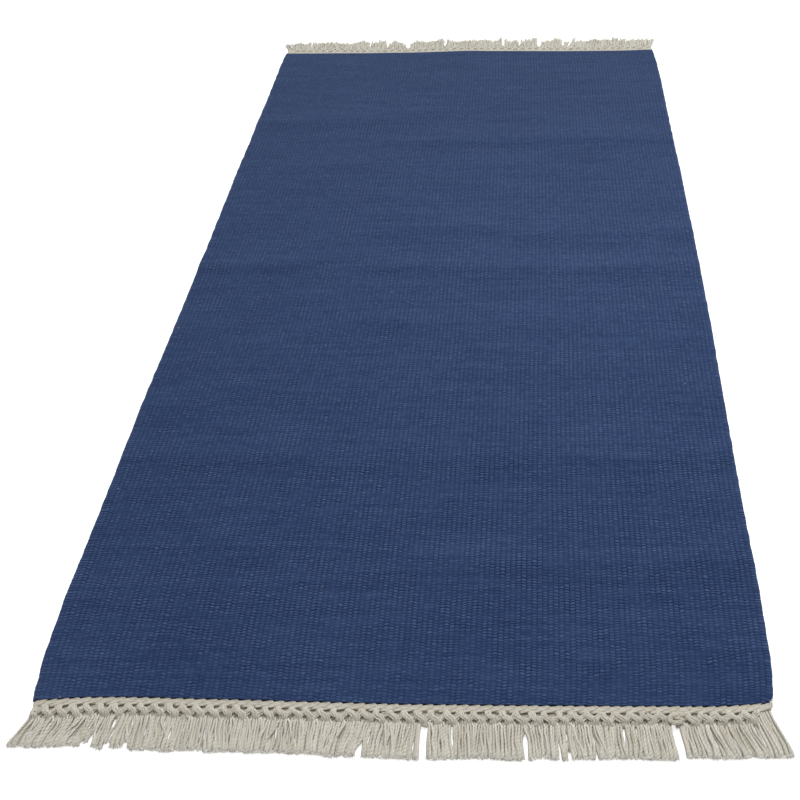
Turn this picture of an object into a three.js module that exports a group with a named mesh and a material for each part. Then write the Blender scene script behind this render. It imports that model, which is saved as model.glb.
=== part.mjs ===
// A flat-woven kilim rug, 70 x 140 cm, lying on the floor with its long side along Y.
// Units are millimetres, +Z is up, and the origin is under the middle of the rug at floor level.
import * as THREE from "three";

// Woven field
const fieldLength = 1400; // between the two headings
const fieldThickness = 5; // two wool wefts over a thick warp
const fieldStepsAcross = 14;
const fieldStepsAlong = 58;
const endWaveReach = 200; // how far in from an end the cloth follows that end's uneven line

// Twined heading at each end
const pieceGap = 0.3; // between touching pieces
const headingWidth = 7;
const headingThickness = 4.6;
const headingStepsPerColumn = 4; // heading steps to one column of the field
const headingCornerCut = 0.28; // share of its half section taken off each corner

// Knotted warp ends: a row of crossed bundles, then loose tassels
const tasselCount = 53;
const knotRowDepth = 14; // from the heading to where a tassel hangs free
const tasselPartDepth = 10.5; // from the heading to where two tassels part, at the lower eyes
const tasselFlattenLength = 28; // over which a tassel thins out towards its tips
const knotNotchWidth = 4.4; // the eye between two bundles beside the heading
const knotNotchDepth = 5.2;
const knotEyeShift = 0.37; // the lower eyes sit this share of a pitch to the right of the upper ones
const tasselGapAtRoot = 0.7;
const tasselGapAtTip = 2;
const knotCrown = 5.4; // height of the row at its middle
const knotFoot = 4.4; // height of the row beside the heading
const tasselThickness = 2.6;
const tasselTipThickness = 2.2;

// Side edges: the cloth is drawn in at its corners and widest past the middle
const sideEdges = [
  { y: -700, left: -351, right: 349 },
  { y: -680, left: -353, right: 352 },
  { y: -640, left: -357, right: 354.5 },
  { y: -560, left: -359, right: 356 },
  { y: -400, left: -359, right: 356.5 },
  { y: -280, left: -360, right: 358 },
  { y: -120, left: -358, right: 360 },
  { y: 60, left: -357, right: 360 },
  { y: 240, left: -357, right: 359 },
  { y: 400, left: -355.5, right: 356.5 },
  { y: 560, left: -354.5, right: 355.5 },
  { y: 650, left: -354.5, right: 353.5 },
  { y: 700, left: -353.5, right: 350 },
];

// How far each end line stands out past half the field's length
const endEdges = [
  { x: -360, front: 1, back: 2 },
  { x: -280, front: -4, back: 0 },
  { x: -190, front: -2.6, back: -2 },
  { x: -90, front: -0.6, back: -1.8 },
  { x: -10, front: 1.4, back: 2 },
  { x: 80, front: 1.8, back: -2 },
  { x: 190, front: 1.8, back: -6 },
  { x: 290, front: 1.2, back: -7 },
  { x: 360, front: -3, back: -4 },
];

// Low folds left by packing: crest line, reach across the rug, height and width of each swell
const folds = [
  { y: 436, left: -345, right: -125, height: 1.7, width: 84 },
  { y: 370, left: -60, right: 90, height: 1.5, width: 76 },
  { y: 368, left: 110, right: 352, height: 1.8, width: 84 },
  { y: 104, left: -70, right: 80, height: 1.5, width: 84 },
  { y: 86, left: 130, right: 352, height: 1.5, width: 64 },
  { y: 10, left: -352, right: -140, height: 2.4, width: 66 },
  { y: 2, left: -90, right: 95, height: 2.4, width: 64 },
  { y: -3, left: 60, right: 354, height: 2.4, width: 66 },
  { y: -124, left: -80, right: 100, height: 1.9, width: 66 },
  { y: -371, left: -356, right: -20, height: 1.7, width: 76 },
  { y: -372, left: -60, right: 353, height: 2, width: 76 },
  { y: -536, left: 60, right: 352, height: 1.9, width: 72 },
];
const foldRunOut = 70; // length over which a fold dies away at each end

// Where the loose ends of each fringe reach, how they lean, and where the row of tassels is parted
const frontFringe = {
  reach: [
    { x: -352, out: 750, lean: -10.5 },
    { x: -300, out: 749, lean: -7 },
    { x: -255, out: 747, lean: -2 },
    { x: -200, out: 752, lean: 1 },
    { x: -120, out: 753, lean: 2 },
    { x: -40, out: 756, lean: 0 },
    { x: 20, out: 757.5, lean: 0 },
    { x: 120, out: 757, lean: 1.5 },
    { x: 240, out: 756, lean: 3 },
    { x: 300, out: 754, lean: 7 },
    { x: 349, out: 753.5, lean: 12.5 },
  ],
  partings: [
    { x: -262, width: 5 },
    { x: -30, width: 4 },
    { x: 24, width: 6.5 },
    { x: 118, width: 5 },
    { x: 258, width: 9 },
  ],
};
const backFringe = {
  reach: [
    { x: -353, out: 744, lean: -8 },
    { x: -270, out: 751, lean: -2 },
    { x: -200, out: 752, lean: 0 },
    { x: -150, out: 744, lean: 1 },
    { x: -90, out: 752, lean: 0 },
    { x: -10, out: 757.5, lean: 1 },
    { x: 60, out: 752, lean: 0 },
    { x: 140, out: 746, lean: 2 },
    { x: 220, out: 747, lean: 2 },
    { x: 300, out: 743, lean: 3 },
    { x: 350, out: 741, lean: 7 },
  ],
  partings: [
    { x: -244, width: 5 },
    { x: -195, width: 5 },
    { x: -160, width: 8 },
    { x: -119, width: 11 },
    { x: -48, width: 7 },
    { x: 64, width: 6 },
    { x: 98, width: 5 },
    { x: 136, width: 11 },
    { x: 199, width: 8 },
    { x: 275, width: 4 },
    { x: 294, width: 6 },
  ],
};
const partingCatch = 7; // a parting widens the gap between tassels that lies this near to it

// The value of a named column at a place in a table, eased between its rows.
function readTable(rows, placeColumn, place, column) {
  const next = rows.findIndex((row) => row[placeColumn] >= place);
  if (next === 0) return rows[0][column];
  if (next === -1) return rows.at(-1)[column];
  const [before, after] = [rows[next - 1], rows[next]];
  const span = after[placeColumn] - before[placeColumn];
  const share = THREE.MathUtils.smoothstep((place - before[placeColumn]) / span, 0, 1);
  return THREE.MathUtils.lerp(before[column], after[column], share);
}

// The x of a side edge, and of a point at a share of the width between the two side edges.
const sideX = (y, side) => readTable(sideEdges, "y", y, side);
const acrossX = (share, y) => THREE.MathUtils.lerp(sideX(y, "left"), sideX(y, "right"), share);

// How far from the middle of the rug an end line of the field lies at a given x. It runs straight
// from one column of the field to the next, so that what lies against it follows the same line.
function endReach(x, end) {
  const endY = ((end === "front" ? -1 : 1) * fieldLength) / 2;
  const [left, right] = [sideX(endY, "left"), sideX(endY, "right")];
  const columns = THREE.MathUtils.inverseLerp(left, right, x) * fieldStepsAcross;
  const first = THREE.MathUtils.clamp(Math.floor(columns), 0, fieldStepsAcross - 1);
  const reachOf = (column) => readTable(endEdges, "x", acrossX(column / fieldStepsAcross, endY), end);
  return fieldLength / 2 + THREE.MathUtils.lerp(reachOf(first), reachOf(first + 1), columns - first);
}

// The height by which the folds lift the cloth off the floor at a point.
function foldLift(x, y) {
  let lift = 0;
  for (const fold of folds) {
    const along = Math.abs(y - fold.y) / (fold.width / 2);
    if (along >= 1) continue;
    const fromEnd = Math.min(x - fold.left + foldRunOut, fold.right + foldRunOut - x);
    const across = THREE.MathUtils.smoothstep(fromEnd, 0, foldRunOut);
    lift = Math.max(lift, fold.height * across * Math.cos((along * Math.PI) / 2) ** 2);
  }
  return lift;
}

// A box of unit size, cut into steps, whose every corner is carried to its place on the rug.
function shapedBox(stepsX, stepsY, stepsZ, place) {
  const geometry = new THREE.BoxGeometry(1, 1, 1, stepsX, stepsY, stepsZ);
  const points = geometry.attributes.position;
  for (let i = 0; i < points.count; i += 1) {
    points.setXYZ(i, ...place(points.getX(i) + 0.5, points.getY(i) + 0.5, points.getZ(i) + 0.5));
  }
  geometry.computeVertexNormals();
  return geometry;
}

// The cloth: one sheet that follows the side edges, the end lines and the folds.
function makeField() {
  return shapedBox(fieldStepsAcross, fieldStepsAlong, 1, (across, along, up) => {
    const evenY = (along - 0.5) * fieldLength;
    const x = acrossX(across, evenY);
    const end = evenY < 0 ? "front" : "back";
    const nearEnd = THREE.MathUtils.clamp(1 - (fieldLength / 2 - Math.abs(evenY)) / endWaveReach, 0, 1);
    const y = evenY + Math.sign(evenY) * nearEnd * (endReach(x, end) - fieldLength / 2);
    return [x, y, up * fieldThickness + foldLift(x, y)];
  });
}

// The heading: a cord with cut corners that runs along the field's end line and lies flat below.
// Its section has two steps each way, so a point is a corner unless it is half way in either.
function makeHeading(end) {
  const sign = end === "front" ? -1 : 1;
  return shapedBox(headingStepsPerColumn * fieldStepsAcross, 2, 2, (across, along, up) => {
    const x = acrossX(across, (sign * fieldLength) / 2);
    const isCorner = along !== 0.5 && up !== 0.5;
    const kept = isCorner ? 1 - headingCornerCut : 1;
    const widthShare = 0.5 + (along - 0.5) * kept;
    const heightShare = up === 0 ? 0 : 0.5 + (up - 0.5) * kept;
    const inner = endReach(x, end) + pieceGap;
    const fromInner = (sign < 0 ? 1 - widthShare : widthShare) * headingWidth;
    return [x, sign * (inner + fromInner), heightShare * headingThickness];
  });
}

// The width of the gap at the tips of two tassels that meet at x.
function gapAtTip(x, partings) {
  const parting = partings.find((row) => Math.abs(row.x - x) < partingCatch);
  return parting ? parting.width : tasselGapAtTip;
}

// The height of the knotted row and the tassels at a distance out from the heading.
function fringeThickness(out) {
  const crownAt = knotRowDepth / 2;
  if (out < crownAt) return THREE.MathUtils.mapLinear(out, 0, crownAt, knotFoot, knotCrown);
  const fallen = THREE.MathUtils.clamp((out - crownAt) / crownAt, 0, 1);
  const atRoot = THREE.MathUtils.lerp(knotCrown, tasselThickness, fallen);
  const toTip = THREE.MathUtils.clamp((out - knotRowDepth) / tasselFlattenLength, 0, 1);
  return THREE.MathUtils.lerp(atRoot, Math.min(atRoot, tasselTipThickness), toTip);
}

// The fringe: one comb, with an eye beside the heading at each knot and a gap between tassels.
function makeFringe(end, fringe) {
  const sign = end === "front" ? -1 : 1;
  const left = sideX((sign * fieldLength) / 2, "left");
  const right = sideX((sign * fieldLength) / 2, "right");
  const pitch = (right - left) / tasselCount;
  const innerReach = (x) => endReach(x, end) + 2 * pieceGap + headingWidth;
  const at = (x, out) => new THREE.Vector2(x, sign * (innerReach(x) + out));
  const tipAt = (root, side) => {
    const x = root + readTable(fringe.reach, "x", root, "lean") + side;
    return new THREE.Vector2(x, sign * readTable(fringe.reach, "x", root, "out"));
  };

  const eyes = [at(left, 0)];
  const tassels = [];
  for (let i = 0; i < tasselCount; i += 1) {
    const from = left + i * pitch;
    const knot = from + pitch / 2;
    eyes.push(at(knot - knotNotchWidth / 2, 0), at(knot, knotNotchDepth), at(knot + knotNotchWidth / 2, 0));
    const shift = knotEyeShift * pitch;
    const rootLeft = i === 0 ? from : from + shift - pitch / 2 + tasselGapAtRoot / 2;
    const rootRight = i === tasselCount - 1 ? right : from + shift + pitch / 2 - tasselGapAtRoot / 2;
    const tipLeft = i === 0 ? 0 : gapAtTip(rootLeft, fringe.partings) / 2;
    const tipRight = i === tasselCount - 1 ? 0 : -gapAtTip(rootRight, fringe.partings) / 2;
    if (i > 0) tassels.push(at(rootLeft - tasselGapAtRoot / 2, tasselPartDepth));
    tassels.push(at(rootLeft, knotRowDepth), tipAt(rootLeft, tipLeft));
    tassels.push(tipAt(rootRight, tipRight), at(rootRight, knotRowDepth));
  }
  eyes.push(at(right, 0));

  const outline = new THREE.Shape([...eyes, ...tassels.reverse()]);
  const geometry = new THREE.ExtrudeGeometry(outline, { depth: 1, steps: 1, bevelEnabled: false });
  const points = geometry.attributes.position;
  for (let i = 0; i < points.count; i += 1) {
    const out = sign * points.getY(i) - innerReach(points.getX(i));
    points.setZ(i, points.getZ(i) * fringeThickness(out));
  }
  geometry.computeVertexNormals();
  return geometry;
}

const blueWool = new THREE.MeshStandardMaterial({ color: 0x38496c, roughness: 0.95, metalness: 0 });
const ecruYarn = new THREE.MeshStandardMaterial({ color: 0xc9c2b4, roughness: 0.9, metalness: 0 });

function named(name, geometry, material) {
  const mesh = new THREE.Mesh(geometry, material);
  mesh.name = name;
  return mesh;
}

const rug = new THREE.Group();
rug.add(named("field", makeField(), blueWool));
rug.add(named("heading_front", makeHeading("front"), ecruYarn));
rug.add(named("heading_back", makeHeading("back"), ecruYarn));
rug.add(named("fringe_front", makeFringe("front", frontFringe), ecruYarn));
rug.add(named("fringe_back", makeFringe("back", backFringe), ecruYarn));

export default rug;
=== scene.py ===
import math
import random

import bmesh
import bpy
from mathutils import Matrix, Vector, noise


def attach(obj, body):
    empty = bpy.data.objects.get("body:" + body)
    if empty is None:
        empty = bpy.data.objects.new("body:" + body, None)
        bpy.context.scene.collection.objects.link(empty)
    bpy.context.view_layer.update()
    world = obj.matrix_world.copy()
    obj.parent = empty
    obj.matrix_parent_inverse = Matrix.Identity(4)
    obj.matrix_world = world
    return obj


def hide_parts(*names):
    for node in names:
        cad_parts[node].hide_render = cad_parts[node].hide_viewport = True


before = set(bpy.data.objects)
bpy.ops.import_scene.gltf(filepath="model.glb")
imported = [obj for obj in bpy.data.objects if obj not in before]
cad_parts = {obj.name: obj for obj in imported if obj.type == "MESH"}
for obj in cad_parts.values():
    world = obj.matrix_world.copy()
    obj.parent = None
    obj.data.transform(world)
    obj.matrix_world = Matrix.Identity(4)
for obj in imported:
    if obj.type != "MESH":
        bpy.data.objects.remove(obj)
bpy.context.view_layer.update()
scene = bpy.context.scene
scene.view_settings.view_transform = "Standard"
mm = 0.001


def addObject(name, data):
    added = bpy.data.objects.new(name, data)
    scene.collection.objects.link(added)
    return added


def meshFrom(name, bm):
    mesh = bpy.data.meshes.new(name)
    bm.to_mesh(mesh)
    bm.free()
    return mesh


cameraSetup = {
    "place": (0.1329, -1.2267, 0.8843),
    "downDegrees": 42.926,
    "leftDegrees": 2.889,
    "rollDegrees": -2.127,
    "lens": 47.183,
    "sensor": 36,
    "shift": -0.125,
}


def addCamera():
    data = bpy.data.cameras.new("camera")
    data.sensor_width = cameraSetup["sensor"]
    data.lens = cameraSetup["lens"]
    data.shift_x = cameraSetup["shift"]
    camera = addObject("camera", data)
    turn = Matrix.Rotation(math.radians(cameraSetup["leftDegrees"]), 4, "Z")
    tilt = Matrix.Rotation(math.radians(90 - cameraSetup["downDegrees"]), 4, "X")
    roll = Matrix.Rotation(math.radians(cameraSetup["rollDegrees"]), 4, "Z")
    camera.matrix_world = Matrix.Translation(cameraSetup["place"]) @ turn @ tilt @ roll
    scene.camera = camera


addCamera()
print("camera placed")

# the cloth of the frame: 59 rows of 15 points, front to back and left to right
clothRows, clothColumns = 59, 15


def readCloth():
    heights = {}
    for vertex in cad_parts["field"].data.vertices:
        key = (round(vertex.co.x, 5), round(vertex.co.y, 5))
        heights[key] = max(heights.get(key, 0), vertex.co.z)
    points = sorted((Vector((x, y, z)) for (x, y), z in heights.items()), key=lambda p: p.y)
    rows = []
    for row in range(clothRows):
        chunk = points[row * clothColumns:(row + 1) * clothColumns]
        rows.append(sorted(chunk, key=lambda p: p.x))
    return rows


def alongPoints(points, share):
    # a smooth line through evenly spaced points
    place = min(max(share, 0), 1) * (len(points) - 1)
    first = min(int(place), len(points) - 2)
    t = place - first
    b, c = points[first], points[first + 1]
    a = points[first - 1] if first else 2 * b - c
    d = points[first + 2] if first + 2 < len(points) else 2 * c - b
    return b + 0.5 * t * ((c - a) + t * ((2 * a - 5 * b + 4 * c - d) + t * (3 * b - a - 3 * c + d)))


cloth = readCloth()
clothThickness = min(point.z for row in cloth for point in row)
clothLength = cloth[-1][clothColumns // 2].y - cloth[0][clothColumns // 2].y


def clothRow(along):
    # a row of points across the cloth at a share of its length
    return [alongPoints([row[column] for row in cloth], along) for column in range(clothColumns)]


endRows = {-1: clothRow(0), 1: clothRow(1)}


def endReach(side, x):
    # how far from the middle the end line of the cloth lies at x
    row = endRows[side]
    share = (x - row[0].x) / (row[-1].x - row[0].x)
    return side * alongPoints(row, share).y


def clothHeight(x, y):
    # the top of the cloth above a point of the floor
    row = clothRow(min(max(0.5 + y / clothLength, 0), 1))
    return alongPoints(row, (x - row[0].x) / (row[-1].x - row[0].x)).z


def easeBetween(low, high, value):
    t = min(max((value - low) / (high - low), 0), 1)
    return t * t * (3 - 2 * t)


def readTable(rows, place, column):
    # the value of a column at a place in a table whose first column is the place
    if place <= rows[0][0]:
        return rows[0][column]
    for before, after in zip(rows, rows[1:]):
        if place <= after[0]:
            share = easeBetween(before[0], after[0], place)
            return before[column] + share * (after[column] - before[column])
    return rows[-1][column]


def addNode(tree, kind, **settings):
    node = tree.nodes.new(kind)
    for name, value in settings.items():
        setattr(node, name, value)
    return node


def feed(tree, socket, value):
    # links an output to a socket, or sets a plain value on it
    if isinstance(value, bpy.types.NodeSocket):
        tree.links.new(value, socket)
    else:
        socket.default_value = value


def setSockets(node, values):
    for name, value in values.items():
        node.inputs[name].default_value = value


def fedNode(tree, kind, *values, **settings):
    # the outputs of a new node whose first sockets are fed in turn
    node = addNode(tree, kind, **settings)
    for socket, value in zip(node.inputs, values):
        feed(tree, socket, value)
    return node.outputs


def calc(tree, operation, *values):
    return fedNode(tree, "ShaderNodeMath", *values, operation=operation)[0]


def times(tree, first, second):
    return calc(tree, "MULTIPLY", first, second)


def ramp(tree, value, *ranges):
    # follows a value from one range to another and stays inside the second one
    return fedNode(tree, "ShaderNodeMapRange", value, *ranges, clamp=True)[0]


def blendColours(tree, share, first, second):
    # sockets 6, 7 and the third output are the colour ones of this node
    node = addNode(tree, "ShaderNodeMix", data_type="RGBA")
    for socket, value in ((0, share), (6, first), (7, second)):
        feed(tree, node.inputs[socket], value)
    return node.outputs[2]


def noiseField(tree, vector, scale, detail, roughness):
    node = addNode(tree, "ShaderNodeTexNoise")
    feed(tree, node.inputs["Vector"], vector)
    setSockets(node, {"Scale": scale, "Detail": detail, "Roughness": roughness})
    return node.outputs["Fac"]


def grainNoise(tree, vector, grain, detail=3, roughness=0.6):
    # noise with its own fineness along each of the three ways
    scaled = fedNode(tree, "ShaderNodeVectorMath", vector, grain, operation="MULTIPLY")[0]
    return noiseField(tree, scaled, 1, detail, roughness)


def partsOf(tree, vector):
    return fedNode(tree, "ShaderNodeSeparateXYZ", vector)


def planePoint(tree, x, y):
    return fedNode(tree, "ShaderNodeCombineXYZ", x, y)[0]


def uvOf(tree, name):
    return addNode(tree, "ShaderNodeUVMap", uv_map=name).outputs[0]


def objectPlace(tree):
    return addNode(tree, "ShaderNodeTexCoord").outputs["Object"]


def newGroup(name, inputs, outputs):
    # inputs without a value are vectors, and everything else is a plain number
    tree = bpy.data.node_groups.new(name, "ShaderNodeTree")
    for label, value in inputs.items():
        kind = "NodeSocketVector" if value is None else "NodeSocketFloat"
        socket = tree.interface.new_socket(label, in_out="INPUT", socket_type=kind)
        if value is not None:
            socket.default_value = value
    for label in outputs:
        tree.interface.new_socket(label, in_out="OUTPUT", socket_type="NodeSocketFloat")
    return tree, addNode(tree, "NodeGroupInput").outputs, addNode(tree, "NodeGroupOutput").inputs


def useGroup(tree, group, **values):
    node = addNode(tree, "ShaderNodeGroup", node_tree=group)
    for name, value in values.items():
        feed(tree, node.inputs[name], value)
    return node.outputs


# grains are the fineness of noise along each way, ranges are from low, from high, to low, to high
weftShape = {
    "drift": 5.0,
    "driftGrain": (2.3, 0.07, 1),
    "jitter": 0.9,
    "jitterGrain": (3.7, 0.6, 1),
    "slant": 0.5,
    "beadRoundness": 1.1,
    "ribRoundness": 0.32,
    "beadShare": 0.72,
    "ribShare": 0.18,
    "level": 0.55,
    "firmScale": 55,
    "firmRange": (0.3, 0.7, 0.35, 1.2),
    "swellRange": (0, 1, 0.7, 1.2),
    "endRange": (0.6, 0.69, 1, 0.72),
    "fibreGrain": (500, 2600, 900),
    "fibre": 0.28,
    "streakGrain": (7, 150, 1),
}


def weftFaceGroup():
    # wool picks packed over thick warps: one unit of Weave is one rib across and one bead along
    shape = weftShape
    inputs = {"Weave": None, "Place": None, "Drift": shape["drift"], "Jitter": shape["jitter"]}
    tree, given, out = newGroup("weftFace", inputs, ["Height", "Bead", "Tone", "Streak"])
    across, along, _ = partsOf(tree, given["Weave"])
    rib = calc(tree, "FLOOR", across)
    inRib = calc(tree, "FRACT", across)
    everyOther = calc(tree, "MODULO", rib, 2)
    line = planePoint(tree, rib, along)
    # each line of beads wanders a little, and every other line is half a bead ahead and slants back
    drift = grainNoise(tree, line, shape["driftGrain"], 1, 0.5)
    jitter = grainNoise(tree, line, shape["jitterGrain"], 1, 0.5)
    shift = times(tree, calc(tree, "SUBTRACT", drift, 0.5), given["Drift"])
    shift = calc(tree, "MULTIPLY_ADD", calc(tree, "SUBTRACT", jitter, 0.5), given["Jitter"], shift)
    slant = times(tree, calc(tree, "SUBTRACT", everyOther, 0.5), shape["slant"])
    shift = calc(tree, "MULTIPLY_ADD", calc(tree, "SUBTRACT", inRib, 0.5), slant, shift)
    bead = calc(tree, "ADD", calc(tree, "MULTIPLY_ADD", everyOther, 0.5, along), shift)
    inBead = calc(tree, "FRACT", bead)
    number = planePoint(tree, rib, calc(tree, "FLOOR", bead))
    chance = fedNode(tree, "ShaderNodeTexWhiteNoise", number, noise_dimensions="2D")["Value"]

    def roundedRise(share, roundness):
        return calc(tree, "POWER", calc(tree, "SINE", times(tree, share, math.pi)), roundness)

    beadRise = roundedRise(inBead, shape["beadRoundness"])
    ribRise = roundedRise(inRib, shape["ribRoundness"])
    # how much the beads swell: by chance, by how firmly the wool is beaten, and less near the ends
    swell = ramp(tree, chance, *shape["swellRange"])
    firm = noiseField(tree, given["Place"], shape["firmScale"], 2, 0.6)
    swell = times(tree, swell, ramp(tree, firm, *shape["firmRange"]))
    endward = calc(tree, "ABSOLUTE", partsOf(tree, given["Place"])[1])
    swell = times(tree, swell, ramp(tree, endward, *shape["endRange"]))
    body = calc(tree, "MULTIPLY_ADD", beadRise, shape["beadShare"], shape["ribShare"])
    body = calc(tree, "SUBTRACT", times(tree, body, ribRise), shape["level"])
    rise = calc(tree, "MULTIPLY_ADD", body, swell, shape["level"])
    fibre = grainNoise(tree, given["Place"], shape["fibreGrain"])
    feed(tree, out["Height"], calc(tree, "MULTIPLY_ADD", fibre, shape["fibre"], rise))
    feed(tree, out["Bead"], rise)
    feed(tree, out["Tone"], chance)
    feed(tree, out["Streak"], grainNoise(tree, given["Place"], shape["streakGrain"], 3, 0.65))
    return tree


twistShape = {
    "plies": 2,
    "turns": 150,
    "roundness": 0.6,
    "fibreGrain": (8, 700, 1),
    "fibre": 0.35,
    "flankRange": (-0.1, 0.9, 1, 0),
}


def plyTwistGroup():
    # the lay of plied yarn: one unit of Yarn is once round and one metre along
    shape = twistShape
    inputs = {"Yarn": None, "Plies": shape["plies"], "Turns": shape["turns"]}
    tree, given, out = newGroup("plyTwist", inputs, ["Height", "Valley", "Flank"])
    around, along, _ = partsOf(tree, given["Yarn"])
    # Flank is 0 on top of the yarn and grows down its sides and under it, and Valley is 1 in the furrows
    # between plies: both steer a painted shade
    upward = calc(tree, "SINE", times(tree, around, math.tau))
    feed(tree, out["Flank"], ramp(tree, upward, *shape["flankRange"]))
    lay = calc(tree, "MULTIPLY_ADD", around, given["Plies"], times(tree, along, given["Turns"]))
    ply = calc(tree, "ABSOLUTE", calc(tree, "SINE", times(tree, lay, math.pi)))
    rise = calc(tree, "POWER", ply, shape["roundness"])
    fibre = grainNoise(tree, given["Yarn"], shape["fibreGrain"])
    feed(tree, out["Height"], calc(tree, "ADD", rise, times(tree, fibre, shape["fibre"])))
    feed(tree, out["Valley"], calc(tree, "SUBTRACT", 1, rise))
    return tree


def hollowGroup():
    # how open to the light a place is, judged by its height over the floor
    tree, given, out = newGroup("hollow", {"Low": 0, "High": 2 * mm, "Bare": 0}, ["Open"])
    height = ramp(tree, partsOf(tree, objectPlace(tree))[2], given["Low"], given["High"], 0, 1)
    # painted light: the marked yarn ends are raised to full openness, which lifts the painted shade
    feed(tree, out["Open"], calc(tree, "MAXIMUM", height, given["Bare"]))
    return tree


weftFace = weftFaceGroup()
plyTwist = plyTwistGroup()
hollow = hollowGroup()


def newMaterial(name):
    material = bpy.data.materials.new(name)
    material.use_nodes = True
    tree = material.node_tree
    tree.nodes.clear()
    shader = addNode(tree, "ShaderNodeBsdfPrincipled")
    output = addNode(tree, "ShaderNodeOutputMaterial")
    tree.links.new(shader.outputs[0], output.inputs[0])
    return material, tree, shader


def addBump(tree, shader, height, distance):
    node = addNode(tree, "ShaderNodeBump")
    node.inputs["Distance"].default_value = distance
    feed(tree, node.inputs["Height"], height)
    feed(tree, shader.inputs["Normal"], node.outputs["Normal"])


woolFinish = {
    # the first colour is a painted shade, mixed into the low places between beads and between ribs
    "grooveShade": (0.005, 0.0113, 0.035, 1),
    "middle": (0.0243, 0.0461, 0.119, 1),
    "bright": (0.054, 0.0895, 0.193, 1),
    "mottleGrain": (8, 26, 1),
    # how much each of the three changes the tone between middle and bright
    "beadShare": 0.42,
    "streakShare": 1.25,
    "mottleShare": 0.5,
    "toneRange": (0.64, 1.54, 0, 1),
    "grooveShadeRange": (0.1, 0.95, 1, 0),
    "beadHeight": 0.7 * mm,
    "sockets": {
        "Roughness": 0.95,
        "Sheen Weight": 0.25,
        "Sheen Roughness": 0.35,
        "Sheen Tint": (0.5, 0.65, 1.0, 1),
        "Specular IOR Level": 0.04,
    },
}


def makeWool():
    finish = woolFinish
    material, tree, shader = newMaterial("blueWool")
    setSockets(shader, finish["sockets"])
    place = objectPlace(tree)
    weave = useGroup(tree, weftFace, Weave=uvOf(tree, "weave"), Place=place)
    mottle = grainNoise(tree, place, finish["mottleGrain"], 3, 0.55)
    tone = times(tree, weave["Tone"], finish["beadShare"])
    tone = calc(tree, "MULTIPLY_ADD", weave["Streak"], finish["streakShare"], tone)
    tone = calc(tree, "MULTIPLY_ADD", mottle, finish["mottleShare"], tone)
    tone = ramp(tree, tone, *finish["toneRange"])
    face = blendColours(tree, tone, finish["middle"], finish["bright"])
    # painted shade: the lower a place lies between beads and ribs, the more of the darker blue it takes
    grooveShading = ramp(tree, weave["Bead"], *finish["grooveShadeRange"])
    feed(tree, shader.inputs["Base Color"], blendColours(tree, grooveShading, face, finish["grooveShade"]))
    addBump(tree, shader, weave["Height"], finish["beadHeight"])
    return material


yarnFinish = {
    "light": (0.528, 0.513, 0.453, 1),
    "warm": (0.44, 0.415, 0.344, 1),
    "shade": (0.185, 0.142, 0.095, 1),
    # a pale colour mixed in as painted light at the marked ends of yarns and in the tufts
    "paintedPale": (0.86, 0.83, 0.76, 1),
    "paintedPaleShare": 0.7,
    "mottleScale": 90,
    "mottleShare": 0.5,
    "ownShare": 0.6,
    "toneRange": (0.2, 0.9, 0, 1),
    "sockets": {"Roughness": 0.88, "Sheen Weight": 0.12, "Specular IOR Level": 0.25},
}
# each yarn: the heights between which it goes from shade to full colour, turns of the plies to
# the metre, relief, and shares of shade in the furrows between plies, at the flanks and all over
yarnKinds = {
    "strandYarn": (0, 2.1 * mm, 260, 0.3 * mm, 0.24, 0.33, 0),
    "knotYarn": (0, 2.6 * mm, 220, 0.25 * mm, 0.22, 0.32, 0.09),
    "headingYarn": (0.5 * mm, 3.4 * mm, 170, 0.2 * mm, 0.14, 0.12, 0.1),
    "backYarn": (0, 1 * mm, 170, 0.12 * mm, 0.08, 0.1, 0),
}


def makeYarn(name):
    finish = yarnFinish
    low, high, turns, relief, furrow, flank, allOverShade = yarnKinds[name]
    material, tree, shader = newMaterial(name)
    setSockets(shader, finish["sockets"])
    lay = useGroup(tree, plyTwist, Yarn=uvOf(tree, "yarn"), Turns=turns)
    own = addNode(tree, "ShaderNodeAttribute", attribute_name="tone").outputs["Fac"]
    mottle = noiseField(tree, objectPlace(tree), finish["mottleScale"], 2, 0.5)
    tone = times(tree, mottle, finish["mottleShare"])
    tone = ramp(tree, calc(tree, "MULTIPLY_ADD", own, finish["ownShare"], tone), *finish["toneRange"])
    face = blendColours(tree, tone, finish["warm"], finish["light"])
    # painted shade in the furrows between plies, on the flanks of each yarn, and a share of it all over
    furrowed = times(tree, lay["Valley"], furrow)
    dark = calc(tree, "MAXIMUM", furrowed, times(tree, lay["Flank"], flank))
    face = blendColours(tree, ramp(tree, dark, 0, 1, allOverShade, 1), face, finish["shade"])
    # painted light: the marked ends of yarns and the tufts are mixed toward a pale colour
    paintedLight = addNode(tree, "ShaderNodeAttribute", attribute_name="paintedLight").outputs["Fac"]
    paintedPale = times(tree, paintedLight, finish["paintedPaleShare"])
    face = blendColours(tree, paintedPale, face, finish["paintedPale"])
    # painted shade: lower places, nearer the floor, are mixed toward the shade colour
    openness = useGroup(tree, hollow, Low=low, High=high, Bare=paintedLight)["Open"]
    feed(tree, shader.inputs["Base Color"], blendColours(tree, openness, finish["shade"], face))
    addBump(tree, shader, lay["Height"], relief)
    return material


blueWool = makeWool()
strandYarn, knotYarn, headingYarn, backYarn = [makeYarn(name) for name in yarnKinds]
print("materials made")


def finishPiece(name, bm, material, replaced):
    for face in bm.faces:
        face.smooth = True
    piece = addObject(name, meshFrom(name, bm))
    piece.data.materials.append(material)
    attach(piece, "root")
    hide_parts(replaced)
    return piece


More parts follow.
